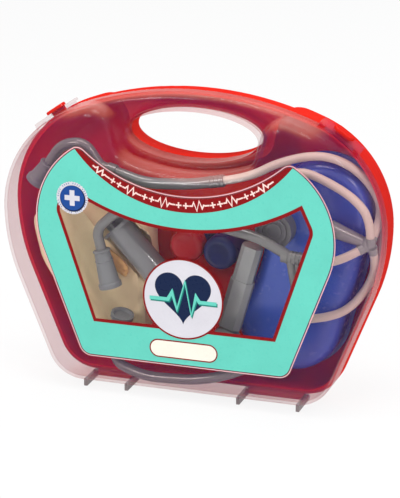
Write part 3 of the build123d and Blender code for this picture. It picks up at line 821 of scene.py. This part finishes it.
def cloth_fold():
    """The bandage's free corner: its edge is rolled over and stands up from the pack."""
    edge = through([(-66.0, 97.0), (-60.0, 93.4), (-53.0, 88.0), (-48.6, 81.6), (-50.6, 76.0)], 8)
    section = through([(1.5, -0.4), (0.3, 0.0), (0.0, 0.8), (0.6, 1.7), (2.0, 2.0), (4.4, 1.4),
                       (7.2, 0.5), (9.6, -0.2)], 4)
    front, waviness, thick = -8.8, 0.18, 0.5
    points, faces = [], []
    for i, here in enumerate(edge):
        along = (Vector(edge[min(i + 1, len(edge) - 1)]) - Vector(edge[max(i - 1, 0)])).normalized()
        inward = Vector((along.y, -along.x))
        wave = 1 + waviness * math.sin(i * 0.9)
        for inset, lift in section:
            x, z = Vector(here) + inward * inset
            points.append((x, front - lift * wave, z))
    across = len(section)
    for i in range(len(edge) - 1):
        for k in range(across - 1):
            a = i * across + k
            faces.append((a, a + 1, a + across + 1, a + across))
    # The rolled edge wears the darker copy of the cotton, as painted shade.
    obj = mesh_piece("cloth_fold", points, faces, fold_cotton_painted_shade)
    solid = obj.modifiers.new("thickness", "SOLIDIFY")
    solid.thickness = thick * MM
    solid.offset = 0


cloth_fold()


def ring(name, start, towards, distance, radius, thickness):
    """A raised bead round a soft tip, that distance along it from its start."""
    way = (Vector(towards) - Vector(start)).normalized()
    side = way.orthogonal().normalized()
    other = way.cross(side)
    centre = Vector(start) + way * distance
    points, faces, round_steps, bead_steps = [], [], 48, 10
    for i in range(round_steps):
        t = 2 * math.pi * i / round_steps
        out = side * math.cos(t) + other * math.sin(t)
        for k in range(bead_steps):
            u = 2 * math.pi * k / bead_steps
            points.append(centre + out * (radius + thickness * math.cos(u))
                          + way * thickness * math.sin(u))
    for i in range(round_steps):
        here, after = i * bead_steps, (i + 1) % round_steps * bead_steps
        for k in range(bead_steps):
            m = (k + 1) % bead_steps
            faces.append((here + k, after + k, after + m, here + m))
    mesh_piece(name, points, faces, soft_tip)


for name, start, towards in (
    ("upper_tip", (-64.6, -20, 98), (-61.2, -20, 84)),
    ("lower_tip", (-54.5, -17, 33), (-49, -13.4, 53)),
    ("bell_end_tip", (-105, -14, 155.5), (-115, -14, 141)),
):
    ring(name + "_bead", start, towards, 1.0, 5.4, 0.95)
    ring(name + "_crease", start, towards, 8.0, 5.9, 0.6)


# -------------------------------------------------------- floor and lights
def stage():
    """A pale floor that shows its shadows and lets the rest of the white studio through."""
    half, below, share = 6.0, -0.2 * MM, 0.86
    p = Paint("floor")
    pale = p.mixed(p.noise(3.0), (0.86, 0.86, 0.86, 1), (0.9, 0.9, 0.9, 1))
    matt = p.node("ShaderNodeBsdfDiffuse", Color=pale)
    through = p.node("ShaderNodeBsdfTransparent", Color=(1, 1, 1, 1))
    p.show(p.both(p.math("MULTIPLY", p.seen(), share), matt.outputs[0], through.outputs[0]))
    mesh = bpy.data.meshes.new("floor")
    corners = [(-half, -half, 0), (half, -half, 0), (half, half, 0), (-half, half, 0)]
    mesh.from_pydata(corners, [], [(0, 1, 2, 3)])
    mesh.materials.append(p.material)
    floor = added("floor", mesh)
    floor.location = (0, 0, below)


def studio():
    """An even pale world: white where it is seen, and dimmer as light on the object."""
    world = bpy.data.worlds.new("studio")
    scene.world = world
    world.use_nodes = True
    w = Nodes(world.node_tree)
    light = w.node("ShaderNodeBackground", Color=(0.98, 0.99, 1.0, 1), Strength=0.58)
    white = w.node("ShaderNodeBackground", Color=(1, 1, 1, 1), Strength=1.0)
    out = w.node("ShaderNodeOutputWorld")
    w.put(out.inputs["Surface"], w.both(w.seen(), light.outputs[0], white.outputs[0]))


def lamp(name, power, size, at, aim):
    """A flat lamp turned to its aim: watts and metres."""
    data = bpy.data.lights.new(name, "AREA")
    data.shape = "RECTANGLE"
    data.size, data.size_y = size
    data.energy = power
    obj = added(name, data)
    obj.location = at
    obj.rotation_mode = "QUATERNION"
    obj.rotation_quaternion = (Vector(aim) - Vector(at)).to_track_quat("-Z", "Y")


stage()
studio()
lamp("key", 8.0, (0.5, 0.36), (-0.75, -1.35, 0.95), (0, 0, 0.1))
lamp("top", 9.0, (0.9, 0.4), (0.0, -0.25, 1.45), (0, 0, 0.15))
lamp("window", 3.6, (0.13, 0.3), (1.02, -0.69, 1.12), (0.08, 0, 0.16))
lamp("fill", 2.6, (0.8, 1.1), (1.5, -0.9, 0.7), (0, 0, 0.1))
lamp("rim", 5.0, (1.2, 0.5), (0.3, 1.1, 1.2), (0, 0, 0.15))

scene.view_settings.view_transform = "Standard"
